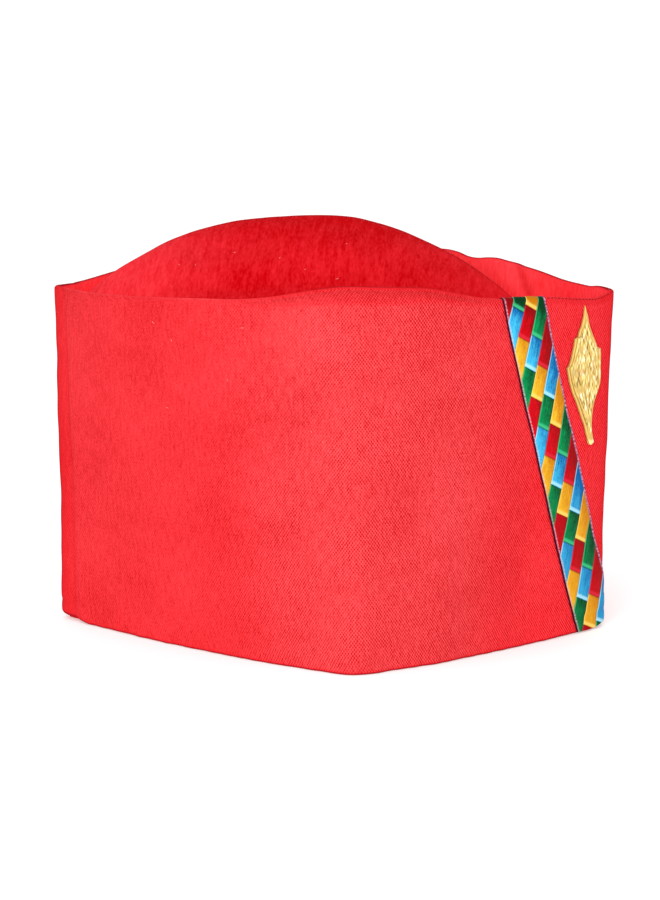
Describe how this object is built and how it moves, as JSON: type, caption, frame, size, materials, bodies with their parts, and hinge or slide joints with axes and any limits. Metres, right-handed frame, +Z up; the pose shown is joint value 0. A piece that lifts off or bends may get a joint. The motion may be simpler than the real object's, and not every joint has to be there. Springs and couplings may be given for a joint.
{
  "type": "himachali cap",
  "caption": "Red cloth hill cap with a tall turned-up cuff folded at front and back, a soft domed crown, a slanting woven ribbon and a gilt leaf.",
  "frame": {"origin": "on the floor under the middle of the cap, in the plane of the hem", "axes": "+X towards the front fold, -Y towards the side with the ribbon and the leaf, +Z up"},
  "size_m": [0.213, 0.1718, 0.1579],
  "materials": {
    "cuff_cloth": "matt red cotton twill, two layers",
    "crown_cloth": "matt deep red cotton, one layer",
    "woven_ribbon": "satin woven ribbon in yellow, green, red and blue patches",
    "gilt": "pale gold, embossed, satin"
  },
  "bodies": {
    "root": {"cuff": "cuff_cloth", "crown": "crown_cloth", "ribbon": "woven_ribbon", "emblem": "gilt"}
  },
  "joints": []
}
